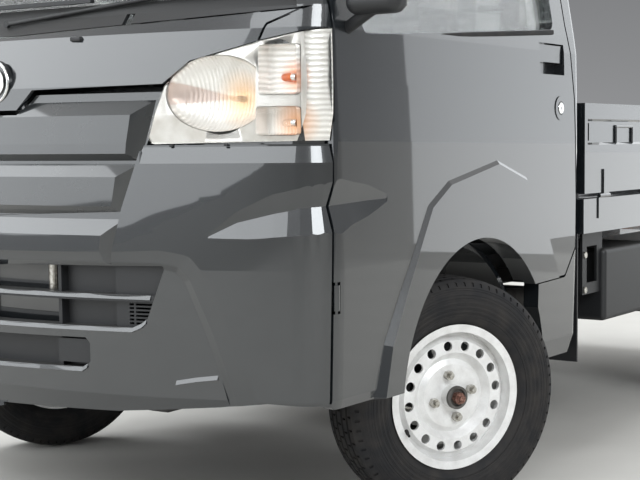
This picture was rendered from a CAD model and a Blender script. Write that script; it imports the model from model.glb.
# %% [markdown]
# # A small black truck with a drop-side bed
# This lesson dresses a truck whose pieces come from a CAD model. The steps are: camera and
# light, paints and plastics, then the pieces that CAD leaves plain.

# %% Load the frame
import bpy
import math
from math import cos, radians, sin
from mathutils import Matrix, Vector


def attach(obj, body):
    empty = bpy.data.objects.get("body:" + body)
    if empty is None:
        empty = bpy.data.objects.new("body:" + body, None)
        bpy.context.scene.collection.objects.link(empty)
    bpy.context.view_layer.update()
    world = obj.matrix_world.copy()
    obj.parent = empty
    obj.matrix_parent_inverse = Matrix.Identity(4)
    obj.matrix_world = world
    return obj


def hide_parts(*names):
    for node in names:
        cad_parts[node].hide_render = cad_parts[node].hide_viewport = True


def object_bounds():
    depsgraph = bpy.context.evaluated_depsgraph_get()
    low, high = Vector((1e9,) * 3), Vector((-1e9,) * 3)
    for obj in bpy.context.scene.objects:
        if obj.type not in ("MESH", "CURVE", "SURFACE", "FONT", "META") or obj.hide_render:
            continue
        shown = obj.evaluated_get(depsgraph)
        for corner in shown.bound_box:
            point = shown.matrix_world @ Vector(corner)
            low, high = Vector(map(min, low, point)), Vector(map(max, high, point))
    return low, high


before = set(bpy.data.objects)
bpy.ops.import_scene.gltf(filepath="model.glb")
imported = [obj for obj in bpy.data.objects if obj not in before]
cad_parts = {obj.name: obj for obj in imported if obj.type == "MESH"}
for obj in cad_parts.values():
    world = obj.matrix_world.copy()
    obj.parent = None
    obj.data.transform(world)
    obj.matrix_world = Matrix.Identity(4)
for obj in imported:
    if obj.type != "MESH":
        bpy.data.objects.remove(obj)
cad_low, cad_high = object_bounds()

# %% [markdown]
# ## Camera
# The picture was taken from the front left corner, close to the ground and with a long lens,
# so only the corner of the cab fills it. A camera is set by three directions: where it looks,
# what is to its right, and what is up. They are worked out from a heading, a small downward
# pitch and a slight roll, and become the columns of the camera's matrix.

# %% Camera
CAMERA_PLACE = Vector((2.207, -3.7305, 0.846))
HEADING = radians(34.1)      # turned from straight back towards the truck's right
PITCH = radians(4.0)         # looking slightly down
ROLL = radians(0.53)
FOCAL_PIXELS = 1406          # distance of the image plane, in pixels of a 640 wide picture
SENSOR = 36
look = Vector((-sin(HEADING) * cos(PITCH), cos(HEADING) * cos(PITCH), -sin(PITCH)))
right = Vector((cos(HEADING), sin(HEADING), 0))
down = look.cross(right)
across = right * cos(ROLL) + down * sin(ROLL)
below = down * cos(ROLL) - right * sin(ROLL)
camera_data = bpy.data.cameras.new("camera")
camera_data.sensor_width = SENSOR
camera_data.lens = FOCAL_PIXELS * SENSOR / 640
camera = bpy.data.objects.new("camera", camera_data)
bpy.context.scene.collection.objects.link(camera)
turn = Matrix((across, -below, -look)).transposed()
camera.matrix_world = Matrix.Translation(CAMERA_PLACE) @ turn.to_4x4()
bpy.context.scene.camera = camera
print("lens", round(camera_data.lens, 2), "mm")

# %% [markdown]
# ## Materials: the helper
# A material is a small graph. `add` puts in one node with its settings and its sockets, and
# `paint` starts a material with a Principled shader whose fixed numbers sit on its own sockets.
# Colours are written as the hex codes that a screen shows, and `tone` turns them to linear.

# %% Material helpers
def tone(code):
    """Linear RGBA of an sRGB hex colour."""
    parts = [int(code[i:i + 2], 16) / 255 for i in (0, 2, 4)]
    linear = [c / 12.92 if c <= 0.04045 else ((c + 0.055) / 1.055) ** 2.4 for c in parts]
    return (*linear, 1)


def add(material, kind, sockets=None, **settings):
    """Add one shader node, set its properties, then set or link its sockets."""
    tree = material.node_tree
    made = tree.nodes.new(kind)
    for key, value in settings.items():
        setattr(made, key, value)
    for key, value in (sockets or {}).items():
        if isinstance(value, bpy.types.NodeSocket):
            tree.links.new(value, made.inputs[key])
        else:
            made.inputs[key].default_value = value
    return made


def paint(name, **fixed):
    """A new material with one Principled shader, and that shader."""
    material = bpy.data.materials.new(name)
    material.use_nodes = True
    shader = material.node_tree.nodes["Principled BSDF"]
    for key, value in fixed.items():
        shader.inputs[key.replace("_", " ")].default_value = value
    return material, shader

# %% [markdown]
# ## Body paint: black mica enamel
# This black holds fine mica flakes under clear lacquer. The flakes give a faint metallic sheen,
# and the thick lacquer a sharp bright reflection, so most of the look is what it mirrors.
# A very slight ripple, called orange peel, keeps that reflection from being a perfect mirror,
# and a thin film of dust greys whatever faces up.

# %% Body paint
ORANGE_PEEL = 0.004          # one ripple of the lacquer, in metres


def ripple(material, shader, size, strength, depth=0.0004, detail=2):
    """Link a noise bump of a real size, in metres, to a shader's normal."""
    place = add(material, "ShaderNodeTexCoord").outputs["Object"]
    noise = add(material, "ShaderNodeTexNoise", {"Vector": place, "Scale": 1 / size, "Detail": detail})
    bump = add(material, "ShaderNodeBump", {
        "Height": noise.outputs["Fac"], "Strength": strength, "Distance": depth})
    material.node_tree.links.new(bump.outputs["Normal"], shader.inputs["Normal"])
    return noise


def cloud(material, size, low, high, detail=4):
    """A soft 0 to 1 pattern of a real size, in metres, cut between two noise levels."""
    place = add(material, "ShaderNodeTexCoord").outputs["Object"]
    noise = add(material, "ShaderNodeTexNoise", {"Vector": place, "Scale": 1 / size, "Detail": detail})
    return add(material, "ShaderNodeMapRange", {
        "Value": noise.outputs["Fac"], "From Min": low, "From Max": high}).outputs["Result"]


def blend_tones(material, amount, first, second):
    """A colour between two tones, by a 0 to 1 amount."""
    mix = add(material, "ShaderNodeMix", data_type="RGBA")
    links = material.node_tree.links
    links.new(amount, mix.inputs[0])
    for socket, value in ((mix.inputs[6], first), (mix.inputs[7], second)):
        if isinstance(value, bpy.types.NodeSocket):
            links.new(value, socket)
        else:
            socket.default_value = value
    return mix.outputs[2]


def facing_up(material, low=0.5, high=1.0):
    """How far a surface faces the sky, from 0 to 1."""
    normal = add(material, "ShaderNodeNewGeometry").outputs["Normal"]
    height = add(material, "ShaderNodeSeparateXYZ", {"Vector": normal}).outputs["Z"]
    return add(material, "ShaderNodeMapRange", {
        "Value": height, "From Min": low, "From Max": high}).outputs["Result"]


def multiply(material, first, second):
    """Two numbers multiplied."""
    product = add(material, "ShaderNodeMath", operation="MULTIPLY")
    for socket, value in zip(product.inputs, (first, second)):
        if isinstance(value, bpy.types.NodeSocket):
            material.node_tree.links.new(value, socket)
        else:
            socket.default_value = value
    return product.outputs[0]


def link(material, output, shader, socket):
    """Link one output to a shader's socket."""
    material.node_tree.links.new(output, shader.inputs[socket])


def black_mica_enamel():
    """Black with mica flakes under clear lacquer, and a little dust on top faces."""
    material, shader = paint("black_mica_enamel", Metallic=0.1, Roughness=0.25, Coat_Weight=1.0,
                             Coat_Roughness=0.02, Coat_IOR=1.6)
    flakes = cloud(material, 0.0012, 0.35, 0.65, 1)
    mica = blend_tones(material, flakes, tone("14171A"), tone("1D2124"))
    dust = multiply(material, facing_up(material, 0.6, 1.0), cloud(material, 0.12, 0.35, 0.75))
    film = multiply(material, dust, 0.05)
    link(material, blend_tones(material, film, mica, tone("8A857C")), shader, "Base Color")
    ripple(material, shader, ORANGE_PEEL, 0.02)
    return material


body_paint = black_mica_enamel()
print("made", body_paint.name)

# %% [markdown]
# ## Wheel enamel, chassis paint and bare metals
# The wheels are pressed steel under silver enamel: a metallic colour with fine flakes, dulled
# by brake dust. The frame is brushed with satin black and picks up road film. The axle and
# engine castings are rough, and the exhaust is aluminised sheet that has started to stain.

# %% Metals
def silver_wheel_enamel():
    """Silver paint on pressed steel, with brown road film in broad patches."""
    material, shader = paint("silver_wheel_enamel", Metallic=0.3, Roughness=0.38, Coat_Weight=0.3,
                             Coat_Roughness=0.15)
    flakes = add(material, "ShaderNodeTexVoronoi", {
        "Vector": add(material, "ShaderNodeTexCoord").outputs["Object"], "Scale": 1 / 0.0015})
    fleck = blend_tones(material, multiply(material, flakes.outputs["Distance"], 0.30),
                        tone("F0F0EF"), tone("BDBCBB"))
    film = multiply(material, cloud(material, 0.03, 0.4, 0.75), 0.22)
    link(material, blend_tones(material, film, fleck, tone("6E6258")), shader, "Base Color")
    ripple(material, shader, 0.006, 0.05)
    return material


def satin_chassis_black():
    """Brushed satin black with pale road film."""
    material, shader = paint("satin_chassis_black", Roughness=0.5)
    film = multiply(material, cloud(material, 0.08, 0.4, 0.8), 0.35)
    link(material, blend_tones(material, film, tone("16171A"), tone("5A554E")), shader, "Base Color")
    ripple(material, shader, 0.003, 0.25)
    return material


def sand_cast_iron():
    """Rough cast iron and aluminium, oily and stained."""
    material, shader = paint("sand_cast_iron", Metallic=0.6, Roughness=0.62)
    stain = cloud(material, 0.05, 0.35, 0.75)
    link(material, blend_tones(material, stain, tone("6E6C69"), tone("35312D")), shader, "Base Color")
    ripple(material, shader, 0.002, 0.6, 0.0008)
    return material


def aluminised_sheet():
    """Exhaust sheet: dull aluminium coating with rust freckles."""
    material, shader = paint("aluminised_sheet", Metallic=0.9, Roughness=0.42)
    rust = cloud(material, 0.02, 0.58, 0.68)
    link(material, blend_tones(material, rust, tone("9A958E"), tone("6B4A35")), shader, "Base Color")
    ripple(material, shader, 0.004, 0.2)
    return material


def zinc_plated_steel():
    """Bright plated bolts and latches."""
    material, shader = paint("zinc_plated_steel", Metallic=1.0, Roughness=0.3)
    haze = cloud(material, 0.006, 0.4, 0.7)
    link(material, blend_tones(material, haze, tone("C9C7C1"), tone("8F8A80")), shader, "Base Color")
    ripple(material, shader, 0.002, 0.15)
    return material


def polished_chrome():
    """Lock faces and mirror backing."""
    material, shader = paint("polished_chrome", Metallic=1.0, Roughness=0.06)
    haze = cloud(material, 0.01, 0.4, 0.7)
    link(material, blend_tones(material, haze, tone("E6E6E4"), tone("C4C4C2")), shader, "Base Color")
    return material


wheel_paint = silver_wheel_enamel()
chassis_paint = satin_chassis_black()
casting = sand_cast_iron()
exhaust_sheet = aluminised_sheet()
zinc = zinc_plated_steel()
chrome = polished_chrome()
print("metals:", wheel_paint.name, chassis_paint.name, casting.name, exhaust_sheet.name, zinc.name)

# %% [markdown]
# ## Plastics, rubber and glass
# Moulded ABS is either left grained, as on the mirrors and the cowl, or polished, as on the
# slatted panel. Tyre rubber is nearly black and dull, with a brown bloom. Glass is a thin tinted
# sheet. Its alpha is below one, so that light reaches what lies behind it.

# %% Plastics and glass
def moulded_black_abs():
    """Grained black plastic, a little chalky on top faces."""
    material, shader = paint("moulded_black_abs", Roughness=0.48, IOR=1.5)
    chalk = multiply(material, facing_up(material, 0.2, 1.0), 0.25)
    link(material, blend_tones(material, chalk, tone("1B1C1E"), tone("55534F")), shader, "Base Color")
    grain = add(material, "ShaderNodeTexVoronoi", {
        "Vector": add(material, "ShaderNodeTexCoord").outputs["Object"], "Scale": 1 / 0.0018})
    bump = add(material, "ShaderNodeBump", {
        "Height": grain.outputs["Distance"], "Strength": 0.25, "Distance": 0.0003})
    link(material, bump.outputs["Normal"], shader, "Normal")
    return material


def gloss_black_abs():
    """Polished plastic in the body's colour, with fine wash haze."""
    material, shader = paint("gloss_black_abs", Metallic=0.1, Coat_Weight=1.0, Coat_Roughness=0.03,
                             Coat_IOR=1.6)
    haze = add(material, "ShaderNodeMapRange", {
        "Value": cloud(material, 0.05, 0.3, 0.8), "To Min": 0.26, "To Max": 0.34}).outputs["Result"]
    link(material, haze, shader, "Roughness")
    flakes = cloud(material, 0.0014, 0.35, 0.65, 1)
    link(material, blend_tones(material, flakes, tone("131618"), tone("1A1E20")), shader, "Base Color")
    ripple(material, shader, 0.006, 0.02)
    return material


def tyre_rubber():
    """Vulcanised rubber: dull, nearly black, with a brown bloom and road dust."""
    material, shader = paint("tyre_rubber", Roughness=0.78, Specular_IOR_Level=0.35)
    bloom = multiply(material, cloud(material, 0.04, 0.35, 0.75), 0.55)
    link(material, blend_tones(material, bloom, tone("1D1D1F"), tone("3B3733")), shader, "Base Color")
    ripple(material, shader, 0.0012, 0.35, 0.0003, 5)
    return material


def tempered_glass():
    """Window glass with a faint green tint and a little dust."""
    material, shader = paint("tempered_glass", Roughness=0.0, IOR=1.5, Transmission_Weight=1.0, Alpha=0.45)
    dust = multiply(material, cloud(material, 0.15, 0.4, 0.8), 0.25)
    link(material, blend_tones(material, dust, tone("E4EFEA"), tone("C9D2CC")), shader, "Base Color")
    return material


def clear_polycarbonate():
    """Headlamp lens: hard clear plastic."""
    material, shader = paint("clear_polycarbonate", Roughness=0.0, IOR=1.45, Transmission_Weight=1.0,
                             Alpha=0.35)
    haze = multiply(material, cloud(material, 0.06, 0.4, 0.8), 0.3)
    link(material, blend_tones(material, haze, tone("FAFAF8"), tone("EDEBE4")), shader, "Base Color")
    return material


def aluminised_reflector():
    """Vapour-coated bowl behind the lens."""
    material, shader = paint("aluminised_reflector", Metallic=0.6, Roughness=0.25)
    haze = cloud(material, 0.02, 0.3, 0.7)
    link(material, blend_tones(material, haze, tone("F2F1EE"), tone("D2CFC8")), shader, "Base Color")
    return material


def grained_interior_plastic():
    """Dark grey moulded trim inside the cab."""
    material, shader = paint("grained_interior_plastic", Roughness=0.6)
    wear = cloud(material, 0.06, 0.3, 0.8)
    link(material, blend_tones(material, wear, tone("3A3B3D"), tone("48494A")), shader, "Base Color")
    ripple(material, shader, 0.002, 0.4)
    return material


def woven_seat_cloth():
    """Grey seat cloth: a plain weave, drawn at 3 mm so that it shows."""
    thread = 0.003
    material, shader = paint("woven_seat_cloth", Roughness=0.9, Sheen_Weight=0.3, Sheen_Roughness=0.5)
    place = add(material, "ShaderNodeTexCoord").outputs["Object"]
    waves = [add(material, "ShaderNodeTexWave", {"Vector": place, "Scale": 1 / (thread * 20)},
                 bands_direction=way).outputs["Fac"] for way in ("X", "Z")]
    weave = multiply(material, waves[0], waves[1])
    link(material, blend_tones(material, weave, tone("46484B"), tone("525457")), shader, "Base Color")
    bump = add(material, "ShaderNodeBump", {"Height": weave, "Strength": 0.3, "Distance": 0.0005})
    link(material, bump.outputs["Normal"], shader, "Normal")
    return material


# columns: distance from the truck's middle where a zone starts, its tone; red lies inside them
ZONES = [(0.585, "D9D8D3"), (0.640, "C96A0C")]


def red_lens_plastic():
    """Rear lamp lens: acrylic in red, amber and clear zones, with moulded flutes inside."""
    material, shader = paint("red_lens_plastic", Roughness=0.08, Transmission_Weight=0.35, IOR=1.49)
    place = add(material, "ShaderNodeTexCoord").outputs["Object"]
    flutes = add(material, "ShaderNodeTexWave", {"Vector": place, "Scale": 10}, bands_direction="X")
    across = add(material, "ShaderNodeSeparateXYZ", {"Vector": place}).outputs["X"]
    outward = add(material, "ShaderNodeMath", {0: across}, operation="ABSOLUTE").outputs[0]
    colour = blend_tones(material, flutes.outputs["Fac"], tone("A0100E"), tone("C41C18"))
    for start, code in ZONES:
        inside = add(material, "ShaderNodeMath", {0: outward, 1: start}, operation="GREATER_THAN")
        colour = blend_tones(material, inside.outputs[0], colour, tone(code))
    link(material, colour, shader, "Base Color")
    return material


black_plastic = moulded_black_abs()
gloss_plastic = gloss_black_abs()
rubber = tyre_rubber()
glass = tempered_glass()
lens_plastic = clear_polycarbonate()
reflector = aluminised_reflector()
interior = grained_interior_plastic()
seat_cloth = woven_seat_cloth()
red_lens = red_lens_plastic()
print("plastics:", black_plastic.name, gloss_plastic.name, rubber.name, interior.name)

# %% [markdown]
# ## Finishes on the CAD pieces
# Each carried-over piece keeps its shape and gets its real finish. A short table pairs the
# beginning of a node's name with a material, and the first match counts.

# %% Dress the CAD nodes
# columns: how the node's name starts, its material
FINISHES = [
    ("wheel_", wheel_paint), ("tyre_", rubber),
    ("door_left_glass", glass), ("door_right_glass", glass), ("windscreen", glass), ("rear_window", glass),
    ("headlamp_lenses", lens_plastic), ("headlamp_bodies", reflector), ("tail_lamps", red_lens),
    ("door_left_mirror", black_plastic), ("door_right_mirror", black_plastic),
    ("lower_grille", black_plastic), ("cowl", black_plastic), ("wipers", black_plastic),
    ("mudguards", black_plastic), ("side_box", black_plastic), ("grille_panel", gloss_plastic),
    ("ladder_frame", chassis_paint), ("lower_arms", chassis_paint), ("rear_axle", chassis_paint),
    ("leaf_springs", chassis_paint), ("steering_gear", chassis_paint), ("knuckle", chassis_paint),
    ("fuel_tank", chassis_paint), ("seat_", seat_cloth), ("engine", casting), ("gearbox", casting),
    ("exhaust", exhaust_sheet), ("steering_rack", zinc), ("dashboard", interior),
    ("steering_wheel", interior), ("cab_floor", body_paint),
]


def finish_of(name):
    """The material for a node, by how its name starts."""
    for start, material in FINISHES:
        if name.startswith(start):
            return material
    return body_paint


for name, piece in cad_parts.items():
    piece.data.materials.clear()
    piece.data.materials.append(finish_of(name))
print("dressed", len(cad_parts), "nodes")

# %% [markdown]
# ## Helpers for modelling
# Every new piece is drawn the way a modeller draws it by hand: a start shape, then operators in
# edit mode. These helpers keep that short. A chain of edges is drawn by extruding one vertex
# from point to point, and a finished piece is moved to its place inside its own mesh, so that
# its object stays at the origin.

# %% Helpers
def start_clean():
    """Leave object mode with nothing selected."""
    if bpy.context.object and bpy.context.object.mode != "OBJECT":
        bpy.ops.object.mode_set(mode="OBJECT")
    bpy.ops.object.select_all(action="DESELECT")


def draw_chain(name, points):
    """A chain of edges through the points, left open in edit mode with all of it selected."""
    start_clean()
    bpy.ops.mesh.primitive_plane_add(size=0.001)
    drawn = bpy.context.object
    drawn.name = name
    bpy.ops.object.mode_set(mode="EDIT")
    bpy.ops.mesh.select_mode(type="VERT")
    bpy.ops.mesh.select_all(action="SELECT")
    bpy.ops.mesh.merge(type="CENTER")
    here = Vector((0, 0, 0))
    bpy.ops.transform.translate(value=Vector(points[0]) - here)
    for start, end in zip(points, points[1:]):
        bpy.ops.mesh.extrude_region_move(TRANSFORM_OT_translate={"value": Vector(end) - Vector(start)})
    bpy.ops.mesh.select_all(action="SELECT")
    return drawn


def spin_chain(name, points, steps, axis=(1, 0, 0)):
    """A closed ring made by turning a chain of edges all the way round an axis."""
    ring = draw_chain(name, points)
    bpy.ops.mesh.spin(steps=steps, angle=2 * math.pi, center=(0, 0, 0), axis=axis)
    bpy.ops.mesh.select_all(action="SELECT")
    bpy.ops.mesh.remove_doubles(threshold=0.00002)
    bpy.ops.mesh.normals_make_consistent(inside=False)
    bpy.ops.object.mode_set(mode="OBJECT")
    return ring


def pick_faces(piece, chosen):
    """Select the faces for which chosen(centre, normal) is true, and enter edit mode."""
    bpy.ops.object.mode_set(mode="OBJECT")
    for vertex in piece.data.vertices:
        vertex.select = False
    for edge in piece.data.edges:
        edge.select = False
    for face in piece.data.polygons:
        face.select = bool(chosen(face.center, face.normal))
    bpy.ops.object.mode_set(mode="EDIT")
    bpy.ops.mesh.select_mode(type="FACE")


def settle(piece, matrix=None):
    """Put the place into the mesh and leave the object at the origin."""
    start_clean()
    piece.select_set(True)
    bpy.context.view_layer.objects.active = piece
    if matrix is not None:
        piece.matrix_world = matrix
    bpy.ops.object.transform_apply(location=True, rotation=True, scale=True)
    if matrix is not None and matrix.determinant() < 0:
        bpy.ops.object.mode_set(mode="EDIT")
        bpy.ops.mesh.select_all(action="SELECT")
        bpy.ops.mesh.flip_normals()
        bpy.ops.object.mode_set(mode="OBJECT")
    return piece


def twin(piece, name):
    """A copy with a mesh of its own."""
    copy = piece.copy()
    copy.data = piece.data.copy()
    copy.name = name
    bpy.context.scene.collection.objects.link(copy)
    return copy


def smooth(piece, degrees=40):
    """Shade smoothly, except over edges sharper than an angle."""
    start_clean()
    piece.select_set(True)
    bpy.context.view_layer.objects.active = piece
    bpy.ops.object.shade_smooth_by_angle(angle=math.radians(degrees))


def finish(piece, *materials):
    """Give a piece its materials."""
    piece.data.materials.clear()
    for material in materials:
        piece.data.materials.append(material)
    return piece


print("helpers ready")

# %% [markdown]
# ## Where the wheels stand
# The rear wheels stand square. The front wheels are turned 30 degrees to the truck's right
# about kingpins that lean inwards. One matrix per wheel carries a piece that is modelled
# about the X axis, with its outer side towards +X, to its place.

# %% Wheel places
HALF_LENGTH = 1.6975
AXLE_FRONT_Y = 0.795 - HALF_LENGTH
AXLE_REAR_Y = 2.695 - HALF_LENGTH
AXLE_Z = 0.271
HALF_TRACK = {"front": 0.652, "rear": 0.650}
KINGPIN_LOW = Vector((0.620, AXLE_FRONT_Y, 0.190))
KINGPIN_HIGH = Vector((0.500, AXLE_FRONT_Y, 0.640))
TURNED = math.radians(-30)


def wheel_place(end, side):
    """The matrix of one wheel: end is front or rear, side is left or right."""
    sign = 1 if side == "left" else -1
    y = AXLE_FRONT_Y if end == "front" else AXLE_REAR_Y
    place = Matrix.Translation((sign * HALF_TRACK[end], y, AXLE_Z)) @ Matrix.Diagonal((sign, 1, 1, 1))
    if end == "rear":
        return place
    low = Vector((sign * KINGPIN_LOW.x, KINGPIN_LOW.y, KINGPIN_LOW.z))
    high = Vector((sign * KINGPIN_HIGH.x, KINGPIN_HIGH.y, KINGPIN_HIGH.z))
    turn = Matrix.Rotation(TURNED, 4, (high - low).normalized())
    return Matrix.Translation(low) @ turn @ Matrix.Translation(-low) @ place


WHEELS = [(end, side) for end in ("front", "rear") for side in ("left", "right")]
print("wheel places:", [f"{end}_{side}" for end, side in WHEELS])

# %% [markdown]
# ## Tyres: tread and sidewall
# A van tyre has ribs round its tread, parted by grooves, with short slots across the ribs, and
# plain moulded rings on its wall. Its profile is drawn as a chain and spun round the axle. The
# slots are faces of the tread pushed in, staggered from rib to rib.

# %% Tyre
TYRE_R = 0.2706
GROOVE_DEEP = 0.006
AROUND = 216                 # faces round the tyre, 7.9 mm each
SLOT_EVERY = 4
GROOVES = [-0.034, -0.012, 0.012, 0.034]
GROOVE_HALF = 0.0035
HALF_TREAD = 0.052


def crown(x):
    """Radius of the tread at a distance from its middle line."""
    return TYRE_R - abs(x) ** 2 * 1.1


tread_line = [(-0.058, 0.2625), (-HALF_TREAD, crown(HALF_TREAD))]
for middle in GROOVES:
    for shift, deep in ((-1, 0), (-0.6, GROOVE_DEEP), (0.6, GROOVE_DEEP), (1, 0)):
        x = middle + shift * GROOVE_HALF
        tread_line.append((x, crown(x) - deep))
tread_line = tread_line + [(HALF_TREAD, crown(HALF_TREAD)), (0.058, 0.2625)]
# columns: distance from the middle plane, radius; from the bead up to the shoulder
WALL_LINE = [
    (0.0500, 0.1530), (0.0506, 0.1648), (0.0560, 0.1690), (0.0640, 0.1790), (0.0668, 0.1840),
    (0.0668, 0.1865), (0.0685, 0.1870), (0.0712, 0.1980), (0.0722, 0.2080), (0.0722, 0.2200),
    (0.0708, 0.2215), (0.0708, 0.2300), (0.0690, 0.2390), (0.0680, 0.2400), (0.0645, 0.2520),
]
RINGS = [0.1905, 0.1935, 0.2010, 0.2040, 0.2110, 0.2140, 0.2260, 0.2330, 0.2430, 0.2480]
RING_DEEP = 0.0007


def ringed_wall():
    """The wall's line with fine rings pressed in at the listed radii."""
    line = []
    for (x, r), (next_x, next_r) in zip(WALL_LINE, WALL_LINE[1:]):
        line.append((x, r))
        for ring in RINGS:
            if r < ring < next_r - 0.0014:
                here = x + (next_x - x) * (ring - r) / (next_r - r)
                line += [(here, ring), (here - RING_DEEP, ring + 0.0006), (here, ring + 0.0012)]
    return line + [WALL_LINE[-1]]


wall = ringed_wall()
tyre_line = [(-x, 0, r) for x, r in wall] + [(x, 0, r) for x, r in tread_line]
tyre_line = tyre_line + [(x, 0, r) for x, r in reversed(wall)]
tyre = spin_chain("tyre", tyre_line, AROUND)
RIBS = [(-0.047, 0), (-0.023, 2), (0.0, 0), (0.023, 2), (0.047, 1)]


def is_slot(centre, normal):
    """Whether a tread face is a slot: every fourth face of a rib, staggered from rib to rib."""
    radius = math.hypot(centre.y, centre.z)
    if radius < 0.2655:
        return False
    step = int((math.atan2(centre.y, centre.z) / (2 * math.pi) + 0.5) * AROUND)
    return any(abs(centre.x - x) < 0.008 and (step + shift) % SLOT_EVERY == 0 for x, shift in RIBS)


pick_faces(tyre, is_slot)
bpy.ops.mesh.inset(thickness=0.0016, use_individual=True)
bpy.ops.mesh.extrude_region_shrink_fatten(TRANSFORM_OT_shrink_fatten={"value": -0.005})


def is_shoulder(centre, normal):
    """Every third face of the band beside the tread, for the blocks that reach down the wall."""
    radius = math.hypot(centre.y, centre.z)
    step = int((math.atan2(centre.y, centre.z) / (2 * math.pi) + 0.5) * AROUND)
    return 0.254 < radius < 0.264 and abs(centre.x) > 0.058 and step % 3 == 0


pick_faces(tyre, is_shoulder)
bpy.ops.mesh.inset(thickness=0.001, use_individual=True)
bpy.ops.mesh.extrude_region_shrink_fatten(TRANSFORM_OT_shrink_fatten={"value": -0.003})
bpy.ops.object.mode_set(mode="OBJECT")
smooth(finish(tyre, rubber), 28)
for end, side in WHEELS:
    copy = settle(twin(tyre, f"tread_{end}_{side}"), wheel_place(end, side))
    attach(copy, f"wheel_{end}_{side}")
    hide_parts(f"tyre_{end}_{side}")
bpy.data.objects.remove(tyre)
print("tyre faces:", len(copy.data.polygons))

# %% [markdown]
# ## Wheel nuts, hub and valve
# Four conical nuts on their studs show on each wheel, with a dark ring and a rusty nut at the
# hub and a rubber valve. A nut is a six-sided prism with a chamfered end, modelled once.

# %% Wheel nuts
STUD_CIRCLE = 0.050
FIRST_NUT = -6               # degrees from the top of the wheel, as it happened to stop
NUT_FLAT = 0.0095
NUT_FACE_X = 0.038


def hex_nut(name):
    """One nut lying along X, seated at x = 0."""
    start_clean()
    bpy.ops.mesh.primitive_cylinder_add(vertices=6, radius=NUT_FLAT * 1.155, depth=0.014,
                                        location=(0.007, 0, 0), rotation=(0, math.pi / 2, 0))
    nut = settle(bpy.context.object)
    nut.name = name
    pick_faces(nut, lambda centre, normal: normal.x > 0.9)
    bpy.ops.mesh.inset(thickness=0.0022)
    bpy.ops.mesh.extrude_region_move(TRANSFORM_OT_translate={"value": (0.0016, 0, 0)})
    bpy.ops.mesh.inset(thickness=0.0022)
    bpy.ops.mesh.extrude_region_move(TRANSFORM_OT_translate={"value": (0.006, 0, 0)})
    bpy.ops.object.mode_set(mode="OBJECT")
    return nut


nut = finish(hex_nut("nut"), zinc)
for end, side in WHEELS:
    place = wheel_place(end, side)
    for i in range(4):
        angle = math.radians(FIRST_NUT + 90 * i)
        seat = Matrix.Translation((NUT_FACE_X, STUD_CIRCLE * math.sin(angle), STUD_CIRCLE * math.cos(angle)))
        copy = settle(twin(nut, f"wheel_nut_{end}_{side}_{i}"), place @ seat)
        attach(copy, f"wheel_{end}_{side}")
bpy.data.objects.remove(nut)

def rusty_steel():
    """Bare steel of the hub nut, red brown with rust."""
    material, shader = paint("rusty_hub_steel", Metallic=0.4, Roughness=0.5)
    rust = cloud(material, 0.004, 0.35, 0.65)
    link(material, blend_tones(material, rust, tone("9A7468"), tone("5A3A2E")), shader, "Base Color")
    ripple(material, shader, 0.0015, 0.4)
    return material


hub_line = [(0.0590, 0, 0.0265), (0.0655, 0, 0.0262), (0.0665, 0, 0.0250), (0.0665, 0, 0.0205),
            (0.0650, 0, 0.0190), (0.0605, 0, 0.0185), (0.0605, 0, 0.0)]
hub_ring = spin_chain("hub_ring", hub_line, 40)
smooth(finish(hub_ring, casting), 35)
hub_nut = settle(hex_nut("hub_nut"), Matrix.Translation((0.0600, 0, 0)) @ Matrix.Scale(1.25, 4))
finish(hub_nut, rusty_steel())
valve_line = [(0, 0, 0), (0, 0, 0.005), (0.012, 0, 0.0042), (0.02, 0, 0.003), (0.028, 0, 0.003),
              (0.0285, 0, 0.0)]
valve = spin_chain("valve", valve_line, 12)
smooth(finish(valve, rubber), 35)
VALVE_AT = Matrix.Rotation(math.radians(112), 4, "X") @ Matrix.Translation((0.046, 0, 0.140))
VALVE_AT = VALVE_AT @ Matrix.Rotation(math.radians(-20), 4, "Y")
for end, side in WHEELS:
    place = wheel_place(end, side)
    for part in (hub_ring, hub_nut):
        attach(settle(twin(part, f"{part.name}_{end}_{side}"), place), f"wheel_{end}_{side}")
    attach(settle(twin(valve, f"valve_{end}_{side}"), place @ VALVE_AT), f"wheel_{end}_{side}")
bpy.data.objects.remove(hub_ring)
bpy.data.objects.remove(hub_nut)
bpy.data.objects.remove(valve)
print("nuts, hubs and valves on", len(WHEELS), "wheels")

# %% [markdown]
# ## Headlamp interior
# Behind the clear lens sits a faceted bowl round a bulb, a signal lamp with an amber bulb above
# and a side lamp below. The bulbs are small glass capsules on metal bases, each spun from its
# own outline. The main bulb points forward, and the two small ones lie along the shallow
# pockets. Their light-coloured coating mirrors a warm tone, strongest near a bulb.

# %% Bulb glass and bezel
def amber_glass():
    """Painted amber glass of the signal bulb."""
    material, shader = paint("amber_bulb_glass", Roughness=0.1, Transmission_Weight=0.4, IOR=1.5)
    tint = cloud(material, 0.004, 0.3, 0.7)
    link(material, blend_tones(material, tint, tone("F07A12"), tone("E0620A")), shader, "Base Color")
    return material


def frosted_bezel():
    """Pale satin plastic that frames the bowls."""
    material, shader = paint("satin_bezel_plastic", Metallic=0.6, Roughness=0.3)
    film = cloud(material, 0.03, 0.3, 0.7)
    link(material, blend_tones(material, film, tone("DCDAD6"), tone("C9C5BF")), shader, "Base Color")
    ripple(material, shader, 0.004, 0.05)
    return material


amber = amber_glass()
bezel = frosted_bezel()


MAIN_BULB = Vector((0.553, -1.553, 0.930))
SIGNAL_BULB = Vector((0.672, -1.5500, 0.968))
SIDE_BULB = Vector((0.672, -1.5500, 0.882))
# columns: bulb, how far its warm tone reaches, tone
GLINTS = [(MAIN_BULB, 0.060, "F2B45E"), (SIGNAL_BULB, 0.040, "F08A3A"), (SIDE_BULB, 0.055, "F0A050")]


SECTOR_RISE = 0.10           # the wedge's middle line rises this much for each metre inward
SECTOR_SPREAD = 0.19         # and its edges part from that line by this much


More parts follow.
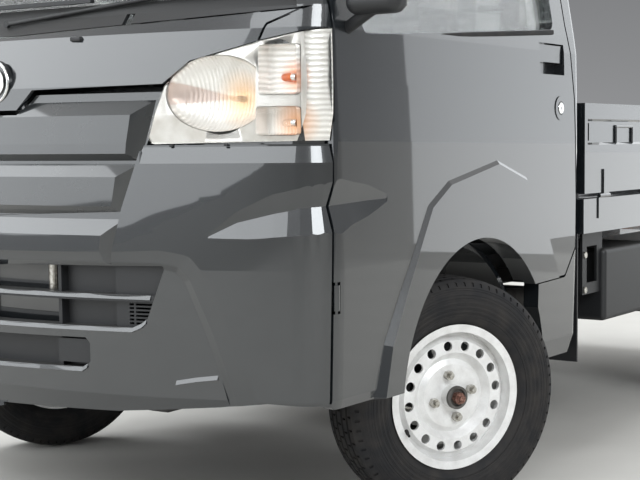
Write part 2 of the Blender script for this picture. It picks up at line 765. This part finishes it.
def warm_near_bulbs(material, place, colour):
    """Tint a colour near the bulbs of both lamps."""
    folded = add(material, "ShaderNodeVectorMath", {0: place}, operation="ABSOLUTE").outputs[0]
    for bulb, reach, code in GLINTS:
        away = add(material, "ShaderNodeVectorMath", {
            0: folded, 1: (bulb.x, -bulb.y, bulb.z)}, operation="DISTANCE").outputs["Value"]
        near = add(material, "ShaderNodeMapRange", {
            "Value": away, "From Min": reach, "From Max": 0.01, "To Max": 0.75}).outputs["Result"]
        colour = blend_tones(material, near, colour, tone(code))
    return colour


def brown_sector(material, place, colour):
    """A wedge of the bowl, inward of the main bulb, mirrors something brown."""
    folded = add(material, "ShaderNodeVectorMath", {0: place}, operation="ABSOLUTE").outputs[0]
    axes = add(material, "ShaderNodeSeparateXYZ", {"Vector": folded}).outputs
    inward = add(material, "ShaderNodeMath", {0: MAIN_BULB.x, 1: axes["X"]}, operation="SUBTRACT").outputs[0]
    above = add(material, "ShaderNodeMath", {0: axes["Z"], 1: MAIN_BULB.z}, operation="SUBTRACT").outputs[0]
    lifted = add(material, "ShaderNodeMath", {
        0: inward, 1: -SECTOR_RISE, 2: above}, operation="MULTIPLY_ADD").outputs[0]
    aside = add(material, "ShaderNodeMath", {0: lifted}, operation="ABSOLUTE").outputs[0]
    edge = multiply(material, inward, SECTOR_SPREAD)
    room = add(material, "ShaderNodeMath", {0: edge, 1: aside}, operation="SUBTRACT").outputs[0]
    inside = add(material, "ShaderNodeMapRange", {
        "Value": room, "From Min": 0.0, "From Max": 0.004, "To Max": 0.6}).outputs["Result"]
    return blend_tones(material, inside, colour, tone("B08A78"))


def pressed_reflector(name, axis, scale, depth):
    """Coated plastic with fine flutes of a given depth, upright or level, pressed into it."""
    material, shader = paint(name, Metallic=0.35, Roughness=0.22)
    place = add(material, "ShaderNodeTexCoord").outputs["Object"]
    flutes = add(material, "ShaderNodeTexWave", {"Vector": place, "Scale": scale, "Distortion": 1.5},
                 bands_direction=axis).outputs["Fac"]
    silver = blend_tones(material, flutes, tone("FAF8F4"), tone("D5D2CC"))
    colour = brown_sector(material, place, silver)
    link(material, warm_near_bulbs(material, place, colour), shader, "Base Color")
    bump = add(material, "ShaderNodeBump", {"Height": flutes, "Strength": 0.6, "Distance": depth})
    link(material, bump.outputs["Normal"], shader, "Normal")
    return material


upright_flutes = pressed_reflector("aluminised_upright_flutes", "X", 40.0, 0.0012)
level_flutes = pressed_reflector("aluminised_level_flutes", "Z", 30.0, 0.0007)
print("lamp finishes:", amber.name, bezel.name, upright_flutes.name, level_flutes.name)

# %% Bulbs
BODY = "chassis"             # the body that carries everything that doesn't move


def bulb_piece(name, outline, material, place, heading, steps=20):
    """A bulb spun about X from (x, radius) pairs, turned to its heading and put in its bowl."""
    piece = spin_chain(name, [(x, 0, r) for x, r in outline], steps)
    smooth(finish(piece, material), 40)
    settle(piece, Matrix.Translation(place) @ Matrix.Rotation(radians(heading), 4, "Z"))
    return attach(piece, BODY)


GLASS_BULB = [(0, 0.006), (0.022, 0.006), (0.028, 0.0045), (0.031, 0.0)]
BULB_BASE = [(-0.009, 0), (-0.009, 0.007), (-0.002, 0.007), (0.0, 0.006), (0.002, 0.006)]
ROUND_BULB = [(0, 0.005), (0.003, 0.0074), (0.009, 0.0082), (0.018, 0.0078), (0.023, 0.005), (0.0255, 0)]
# columns: name, the bulb's foot, outline, material, heading on the left side (-90 points forward)
BULBS = [
    ("main_bulb", MAIN_BULB, GLASS_BULB, lens_plastic, -90),
    ("signal_bulb", SIGNAL_BULB, ROUND_BULB, amber, 180),
    ("side_bulb", SIDE_BULB, ROUND_BULB, lens_plastic, 180),
]
for name, foot, outline, material, heading in BULBS:
    for side, sign in (("left", 1), ("right", -1)):
        place = (sign * foot.x, foot.y, foot.z)
        way = heading if sign > 0 or heading == -90 else 0
        bulb_piece(f"{name}_{side}", outline, material, place, way)
        bulb_piece(f"{name}_base_{side}", BULB_BASE, chrome, place, way)
print("bulbs:", 4 * len(BULBS))

# %% [markdown]
# ## Headlamp housing
# Seen through its lens, the lamp is a wide shallow bowl next to two small pockets, all let into
# a pale satin housing. The CAD housing has plain round hollows, so a copy of it is merged and
# cut wider with boolean shapes, and pressed shells line the new hollows. The panel behind the
# lamp leaves little depth, so the shells are shallow and the bowl is cut straight at its end. The outer end is lined by a sheet that
# follows the lens: a copy of its inner faces, moved back.

# %% Cut the housing
LAMP_TURN = math.radians(14.6)          # the lens slants back by this angle
BOWL_AT = Vector((0.525, -1.5925, 0.940))
BOWL_SIZE = Vector((0.106, 0.042, 0.073))
BOWL_END = 0.604                        # the bowl is cut straight here, beside the pockets
POCKET_REAR = -1.5415                   # just ahead of the panel behind the lamp
LINER_GAP = 0.005                       # from the lens to the sheet behind it
# columns: name, the pocket's inner and outer end, lower and upper edge
POCKETS = [
    ("signal", 0.612, 0.687, 0.936, 1.030),
    ("side", 0.606, 0.687, 0.859, 0.913),
]


def ball(name, place, size, turn):
    """A ball stretched to size, turned about the upright axis and put in place."""
    start_clean()
    bpy.ops.mesh.primitive_uv_sphere_add(segments=48, ring_count=24, radius=1)
    made = bpy.context.object
    made.name = name
    return settle(made, Matrix.Translation(place) @ Matrix.Rotation(turn, 4, "Z") @ Matrix.Diagonal((*size, 1)))


def bevelled_box(name, place, size, turn, edge=0.006, segments=3):
    """A box with rounded edges, turned about the upright axis and put in place."""
    start_clean()
    bpy.ops.mesh.primitive_cube_add(size=1, scale=size)
    made = settle(bpy.context.object)
    made.name = name
    bpy.ops.object.mode_set(mode="EDIT")
    bpy.ops.mesh.select_all(action="SELECT")
    bpy.ops.mesh.bevel(offset=edge, segments=segments, affect="EDGES")
    bpy.ops.object.mode_set(mode="OBJECT")
    return settle(made, Matrix.Translation(place) @ Matrix.Rotation(turn, 4, "Z"))


def carve(piece, cutter, operation="DIFFERENCE"):
    """Apply one boolean with a cutting shape, then throw the shape away."""
    start_clean()
    piece.select_set(True)
    bpy.context.view_layer.objects.active = piece
    step = piece.modifiers.new("cut", "BOOLEAN")
    step.operation = operation
    step.solver = "EXACT"
    step.object = cutter
    bpy.ops.object.modifier_apply(modifier="cut")
    bpy.data.objects.remove(cutter)
    return piece


def bowl_solid(name, flip, turn, grow=1.0):
    """The bowl's stretched ball, cut straight and closed at its outer end."""
    made = ball(name, flip @ BOWL_AT, BOWL_SIZE * grow, turn)
    side = flip @ Vector((1, 0, 0))
    bpy.ops.object.mode_set(mode="EDIT")
    bpy.ops.mesh.select_all(action="SELECT")
    bpy.ops.mesh.bisect(plane_co=side * (BOWL_END + 0.001 * (grow > 1)), plane_no=side,
                        use_fill=True, clear_outer=True)
    bpy.ops.object.mode_set(mode="OBJECT")
    return made


def pocket_box(name, inner, outer, low, high, flip, more=0.0):
    """A rounded box that reaches from well ahead of the lens to just ahead of the panel."""
    size = Vector((outer - inner, 0.080, high - low)) + Vector((2, 2, 2)) * more
    middle = Vector(((inner + outer) / 2, POCKET_REAR - 0.040, (low + high) / 2))
    return bevelled_box(name, flip @ middle, size, 0)


housing = twin(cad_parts["headlamp_bodies"], "lamp_housing")
start_clean()
housing.select_set(True)
bpy.context.view_layer.objects.active = housing
bpy.ops.object.mode_set(mode="EDIT")
bpy.ops.mesh.select_all(action="SELECT")
bpy.ops.mesh.remove_doubles(threshold=0.00005)
bpy.ops.object.mode_set(mode="OBJECT")
for sign in (1, -1):
    flip = Matrix.Diagonal((sign, 1, 1, 1))
    carve(housing, bowl_solid("bowl_cut", flip, sign * LAMP_TURN, 1.02))
    for name, inner, outer, low, high in POCKETS:
        carve(housing, pocket_box(f"{name}_cut", inner, outer, low, high, flip, 0.001))
finish(housing, bezel)
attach(housing, BODY)
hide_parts("headlamp_bodies")
print("housing faces:", len(housing.data.polygons))

# %% Line the hollows
def half_shell(name, solid, mouth, way):
    """Keep what lies behind a mouth plane and leave the shape open there."""
    bpy.ops.object.mode_set(mode="EDIT")
    bpy.ops.mesh.select_all(action="SELECT")
    bpy.ops.mesh.bisect(plane_co=mouth, plane_no=way, clear_inner=True)
    bpy.ops.mesh.select_all(action="SELECT")
    bpy.ops.mesh.normals_make_consistent(inside=True)
    bpy.ops.object.mode_set(mode="OBJECT")
    solid.name = name
    return solid


def outer_liner(name, flip, way):
    """The lens's inner faces beyond the pockets, moved back as a sheet of their own."""
    sheet = twin(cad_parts["headlamp_lenses"], name)
    start_clean()
    sheet.select_set(True)
    bpy.context.view_layer.objects.active = sheet
    side = flip @ Vector((1, 0, 0))
    pick_faces(sheet, lambda centre, normal: centre.dot(side) < 0.6 or normal.dot(way) < 0.5)
    bpy.ops.mesh.delete(type="FACE")
    bpy.ops.mesh.select_all(action="SELECT")
    bpy.ops.mesh.bisect(plane_co=side * POCKETS[0][2], plane_no=side, clear_inner=True)
    bpy.ops.mesh.select_all(action="SELECT")
    bpy.ops.transform.translate(value=way * LINER_GAP)
    bpy.ops.object.mode_set(mode="OBJECT")
    return sheet


REARWARD = Vector((-sin(LAMP_TURN), cos(LAMP_TURN), 0))
for side, sign in (("left", 1), ("right", -1)):
    flip = Matrix.Diagonal((sign, 1, 1, 1))
    turn = sign * LAMP_TURN
    way = flip @ REARWARD
    bowl = bowl_solid("bowl", flip, turn)
    half_shell(f"lamp_bowl_{side}", bowl, flip @ BOWL_AT, way)
    smooth(finish(bowl, upright_flutes), 60)
    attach(bowl, BODY)
    mouth = flip @ Vector((0.648, -1.5690, 0.95))
    for (name, *sides), flutes in zip(POCKETS, (level_flutes, upright_flutes)):
        pocket = half_shell(f"lamp_{name}_pocket_{side}", pocket_box(name, *sides, flip), mouth, way)
        smooth(finish(pocket, flutes), 40)
        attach(pocket, BODY)
    liner = outer_liner(f"lamp_liner_{side}", flip, way)
    smooth(finish(liner, level_flutes), 60)
    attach(liner, BODY)
    for x, y, z in ((0.436, -1.6265, 0.8405), (0.548, -1.5985, 0.8415)):
        stop = bevelled_box(f"lens_stop_{side}_{round(x * 1000)}", flip @ Vector((x, y, z)),
                            (0.007, 0.006, 0.005), turn, 0.001, 1)
        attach(finish(stop, black_plastic), BODY)
print("bowls, pockets and liners in both lamps")

# %% [markdown]
# ## Seats: cloth over foam
# A seat pad is foam in a sewn cover, so its faces swell and its edges pull in. Each pad starts
# as a bevelled block a little smaller than the pad, gets an even skin of small faces, and is
# blown up as cloth under slight pressure for twenty frames. A limit holds every point within a
# few centimetres of where it began. The sewn channels are pressed in afterwards.

# %% Pad from a block
VOXEL = 0.007
SWELL_LIMIT = 0.022
FRAMES = 20


def start_block(name, low, high, top_shift=(0, 0, 0), top_scale=1.0):
    """A bevelled block between two corners, with its top face moved and narrowed."""
    start_clean()
    middle = (Vector(low) + Vector(high)) / 2
    bpy.ops.mesh.primitive_cube_add(size=1, location=middle, scale=Vector(high) - Vector(low))
    block = settle(bpy.context.object)
    block.name = name
    pick_faces(block, lambda centre, normal: normal.z > 0.9)
    bpy.ops.transform.resize(value=(top_scale, 1, 1), center_override=middle)
    bpy.ops.transform.translate(value=top_shift)
    bpy.ops.mesh.select_all(action="SELECT")
    bpy.ops.mesh.bevel(offset=0.028, segments=3, affect="EDGES")
    bpy.ops.object.mode_set(mode="OBJECT")
    return block


def puff_up(block):
    """Even skin, then cloth under pressure, then the limit on how far each point moved."""
    start_clean()
    block.select_set(True)
    bpy.context.view_layer.objects.active = block
    skin = block.modifiers.new("skin", "REMESH")
    skin.mode = "VOXEL"
    skin.voxel_size = VOXEL
    bpy.ops.object.modifier_apply(modifier="skin")
    began = [vertex.co.copy() for vertex in block.data.vertices]
    puff = block.modifiers.new("puff", "CLOTH")
    puff.settings.use_pressure = True
    puff.settings.uniform_pressure_force = 4
    puff.settings.effector_weights.gravity = 0
    puff.point_cache.frame_end = FRAMES
    for frame_number in range(1, FRAMES + 1):
        bpy.context.scene.frame_set(frame_number)
    bpy.ops.object.modifier_apply(modifier="puff")
    bpy.context.scene.frame_set(1)
    floor_z = min(point.z for point in began)
    for vertex, start in zip(block.data.vertices, began):
        moved = vertex.co - start
        if moved.length > SWELL_LIMIT:
            vertex.co = start + moved.normalized() * SWELL_LIMIT
        vertex.co.z = max(vertex.co.z, floor_z)
    return block


def press_channel(pad, distance, side, deep=0.007, wide=0.010):
    """Press a sewn channel where distance(point) is near zero, on faces that point to one side."""
    for vertex in pad.data.vertices:
        far = abs(distance(vertex.co))
        if far < wide and vertex.normal.dot(Vector(side)) > 0.4:
            vertex.co -= Vector(side) * deep * (1 - (far / wide) ** 2)


def finish_pad(pad):
    """One level of subdivision, cloth finish and smooth shading."""
    start_clean()
    pad.select_set(True)
    bpy.context.view_layer.objects.active = pad
    soft = pad.modifiers.new("soft", "SUBSURF")
    soft.levels = 1
    soft.render_levels = 1
    bpy.ops.object.modifier_apply(modifier="soft")
    bpy.ops.object.shade_smooth()
    return finish(pad, seat_cloth)


SEAT_MIDDLE = 0.350
cushion = puff_up(start_block("seat_cushion", (0.133, -1.120, 0.701), (0.567, -0.675, 0.805)))
press_channel(cushion, lambda p: abs(p.x - SEAT_MIDDLE) - 0.135, (0, 0, 1))
press_channel(cushion, lambda p: p.y + 0.93, (0, 0, 1), 0.005)
finish_pad(cushion)
backrest = puff_up(start_block("seat_backrest", (0.133, -0.640, 0.775), (0.567, -0.560, 1.312),
                               (0, 0.090, 0), 0.82))
press_channel(backrest, lambda p: abs(p.x - SEAT_MIDDLE) - 0.125, (0, -1, 0))
press_channel(backrest, lambda p: p.z - 1.15, (0, -1, 0), 0.006)
finish_pad(backrest)
other = Matrix.Translation((-2 * SEAT_MIDDLE, 0, 0))
pads = [cushion, settle(twin(cushion, "seat_cushion_right"), other),
        backrest, settle(twin(backrest, "seat_backrest_right"), other)]
for pad in pads:
    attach(pad, BODY)
for pad in pads[:2]:
    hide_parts("seat_cushions")
for pad in pads[2:]:
    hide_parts("seat_backs")
print("seat faces:", len(cushion.data.polygons), len(backrest.data.polygons))

# %% [markdown]
# ## Small fittings on the front
# A plain chrome ring and disc sit in the lid's round seat. A washer nozzle sits on the lid, and
# behind the lower grille the tie-down bracket shows as two plated posts under a plate.

# %% Front fittings
def put_box(name, low, high, material, body, edge=0.002, segments=2):
    """A bevelled box between two corners, finished and riding on a body."""
    low, high = Vector(low), Vector(high)
    piece = bevelled_box(name, (low + high) / 2, high - low, 0, edge, segments)
    smooth(finish(piece, material), 40)
    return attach(piece, body)


def post(name, place, radius, height, material, body, along="Z", steps=24, edge=0.001):
    """A round post with small chamfers, with its middle at a place."""
    half = height / 2
    line = [(-half, 0, 0), (-half, 0, radius - edge), (edge - half, 0, radius),
            (half - edge, 0, radius), (half, 0, radius - edge), (half, 0, 0)]
    piece = spin_chain(name, line, steps)
    turn = {"X": Matrix.Identity(4), "Y": Matrix.Rotation(math.radians(90), 4, "Z"),
            "Z": Matrix.Rotation(math.radians(-90), 4, "Y")}[along]
    settle(piece, Matrix.Translation(place) @ turn)
    smooth(finish(piece, material), 40)
    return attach(piece, body)


BADGE_AT = Vector((0, -1.6762, 0.975))
start_clean()
bpy.ops.mesh.primitive_torus_add(major_radius=0.0425, minor_radius=0.0032, major_segments=64,
                                 minor_segments=12, location=BADGE_AT, rotation=(math.pi / 2, 0, 0))
ring = settle(bpy.context.object)
ring.name = "badge_ring"
smooth(finish(ring, chrome), 60)
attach(ring, "front_lid")
post("badge_disc", BADGE_AT + Vector((0, 0.001, 0)), 0.030, 0.004, chrome, "front_lid", "Y", 48)
put_box("washer_nozzle", (0.186, -1.6420, 1.052), (0.214, -1.6200, 1.062), black_plastic, "front_lid", 0.003)
for x in (0.115, 0.160):
    post(f"tie_down_post_{round(x * 1000)}", (x, -1.628, 0.574), 0.011, 0.056, zinc, BODY)
put_box("tie_down_plate", (0.090, -1.645, 0.600), (0.185, -1.612, 0.606), zinc, BODY)
print("front fittings placed")

# %% [markdown]
# ## Bright lips on the bumper
# The lower edges of both openings and the top of the bar between them are rolled outwards, so
# they catch the light from above as thin bright lines. Each is a ribbon: a chain of edges along
# the bumper, whose depth is read off the CAD surface, then extruded down and out.

# %% Lips
LIP_FALL = Vector((0, -0.0034, -0.0085))
LIP_BACK = Vector((0, 0.0041, -0.0010))
# columns: name, the CAD piece it follows, how far below its edge the depth is read, (x, z) points
LIPS = [
    ("upper_lip", "front_bumper", 0.012, [(0, 0.4790), (0.12, 0.4797), (0.24, 0.4805), (0.345, 0.4812),
                                          (0.366, 0.4905), (0.376, 0.4990)]),
    ("lower_lip", "front_bumper", 0.012, [(0, 0.3928), (0.12, 0.3948), (0.228, 0.3965), (0.240, 0.4040)]),
    ("bar_lip", "lower_grille", 0.006, [(0, 0.5462), (0.12, 0.5462), (0.24, 0.5462), (0.385, 0.5462)]),
    ("corner_blade", "front_bumper", 0.004, [(0.436, 0.3800), (0.478, 0.3880), (0.520, 0.3935)]),
]


def front_of(node, x, z):
    """Depth of a CAD piece's front surface at a place."""
    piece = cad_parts[node]
    inward = piece.matrix_world.inverted()
    start = inward @ Vector((x, -3, z))
    place = piece.ray_cast(start, inward.to_3x3() @ Vector((0, 1, 0)))[1]
    return (piece.matrix_world @ place).y


def ribbon(name, node, drop, points):
    """A lip along points: one face that looks up and forward, and a small one under it."""
    places = [Vector((x, front_of(node, x, z - drop) - 0.0003, z)) for x, z in points]
    strip = draw_chain(name, places)
    for way in (LIP_FALL, LIP_BACK):
        bpy.ops.mesh.extrude_region_move(TRANSFORM_OT_translate={"value": way})
    bpy.ops.mesh.select_all(action="SELECT")
    bpy.ops.mesh.normals_make_consistent(inside=False)
    bpy.ops.object.mode_set(mode="OBJECT")
    return strip


for name, node, drop, points in LIPS:
    for side, sign in (("left", 1), ("right", -1)):
        strip = ribbon(f"{name}_{side}", node, drop, [(sign * x, z) for x, z in points])
        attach(finish(strip, gloss_plastic if node == "lower_grille" else body_paint), BODY)
print("lips:", 2 * len(LIPS))

# %% [markdown]
# ## Small fittings on the doors and the bed
# Each door has a chrome lock face, a mirror glass and a rubber strip under its window. The
# bracket behind the cab is held by two round-headed bolts.

# %% Door and bed fittings
LOCK_AT = Vector((0.7318, 1.223 - HALF_LENGTH, 0.924))
STRIP = [Vector((0, 0.320 - HALF_LENGTH, 1.0485)), Vector((0, 1.195 - HALF_LENGTH, 1.1105))]


def rubber_strip(name, start, end, sign):
    """A rounded strip of rubber along the window's lower edge."""
    way = end - start
    strip = bevelled_box(name, (0, 0, 0), (0.010, way.length, 0.012), 0, 0.003)
    lean = Matrix.Rotation(math.atan2(way.z, way.y), 4, "X")
    outer = sign * 0.7215
    middle = (start + end) / 2
    return settle(strip, Matrix.Translation((outer, middle.y, middle.z)) @ lean)


for side, sign in (("left", 1), ("right", -1)):
    flip = Matrix.Diagonal((sign, 1, 1, 1))
    body = f"door_{side}"
    post(f"lock_face_{side}", flip @ LOCK_AT, 0.0145, 0.005, chrome, body, "X", 40)
    put_box(f"key_slot_{side}", flip @ LOCK_AT - Vector((0.003, 0.0006, 0.0035)),
            flip @ LOCK_AT + Vector((0.003, 0.0006, 0.0035)), black_plastic, body, 0.0002, 1)
    strip = rubber_strip(f"window_strip_{side}", *STRIP, sign)
    smooth(finish(strip, rubber), 40)
    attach(strip, body)
    low = Vector((sign * 0.800 - 0.050, 0.2715 - HALF_LENGTH, 1.098))
    put_box(f"mirror_glass_{side}", low, low + Vector((0.100, 0.0015, 0.164)), chrome, body, 0.0005, 1)
for z in (0.538, 0.444):
    post(f"bracket_bolt_{round(z * 1000)}", (0.6985, 1.455 - HALF_LENGTH, z), 0.009, 0.006, zinc, BODY, "X")
print("door and bed fittings placed")

# %% [markdown]
# ## Floor, light and sky
# The floor is a plain pale sheet. Dark gloss paint shows mostly what it reflects, so the lights
# are large soft panels. One before the nose fills the lid and the slats, one behind the left
# side fills the door's rear half and the gate, and the creases show where a panel ends.

# %% Studio
def pale_floor_paint():
    """Matt pale floor with a faint mottle."""
    material, shader = paint("pale_floor_paint", Roughness=0.85)
    mottle = cloud(material, 0.4, 0.3, 0.7)
    link(material, blend_tones(material, mottle, tone("CBC9C4"), tone("C2C0BB")), shader, "Base Color")
    return material


bpy.ops.object.select_all(action="DESELECT")
bpy.ops.mesh.primitive_plane_add(size=160, location=(0, 0, cad_low.z - 0.0005))
floor = bpy.context.object
floor.name = "floor"
floor.data.materials.append(pale_floor_paint())

world = bpy.data.worlds.new("studio")
bpy.context.scene.world = world
world.use_nodes = True
sky = world.node_tree.nodes["Background"]
height = add(world, "ShaderNodeSeparateXYZ", {
    "Vector": add(world, "ShaderNodeTexCoord").outputs["Generated"]}).outputs["Z"]
ramp = add(world, "ShaderNodeValToRGB", {"Fac": height})
# columns: share of the way up, tone; dark walls, a bright ceiling
HEIGHTS = [(0.0, "9A9B9D"), (0.10, "88898B"), (0.30, "C8C9CA"), (0.55, "F4F4F4"), (1.0, "F4F4F4")]
stops = ramp.color_ramp.elements
while len(stops) < len(HEIGHTS):
    stops.new(0.5)
for stop, (place, code) in zip(stops, HEIGHTS):
    stop.position = place
    stop.color = tone(code)
world.node_tree.links.new(ramp.outputs["Color"], sky.inputs["Color"])
sky.inputs["Strength"].default_value = 0.9

PANEL_TONE = (0.93, 0.97, 1.0)          # slightly cool, like daylight
# columns: place, point looked at, size along and across in metres, watts
LAMPS = [
    ((5.5, -3.4, 3.6), (0.3, -1.0, 0.5), 3.0, 2.4, 235),
    ((-1.9, -6.1, 4.4), (0.3, -1.6, 0.9), 8.0, 3.2, 275),
    ((-2.3, -7.0, 1.8), (0.3, -1.6, 0.9), 8.0, 2.2, 145),
    ((1.9, 4.7, 1.5), (0.7, -0.7, 0.9), 4.2, 2.8, 55),
    ((-4.5, 1.0, 4.5), (0, 0, 0.6), 3.0, 3.0, 160),
    ((0.0, 2.0, 6.0), (0, 0, 0.6), 4.0, 3.0, 160),
]
for place, target, wide, tall, watts in LAMPS:
    lamp_data = bpy.data.lights.new("panel", "AREA")
    lamp_data.shape = "RECTANGLE"
    lamp_data.size = wide
    lamp_data.size_y = tall
    lamp_data.energy = watts
    lamp_data.color = PANEL_TONE
    lamp = bpy.data.objects.new("panel", lamp_data)
    bpy.context.scene.collection.objects.link(lamp)
    way = (Vector(target) - Vector(place)).normalized()
    lamp.matrix_world = Matrix.Translation(place) @ way.to_track_quat("-Z", "Y").to_matrix().to_4x4()
bpy.context.scene.view_settings.view_transform = "Standard"
print("studio ready")
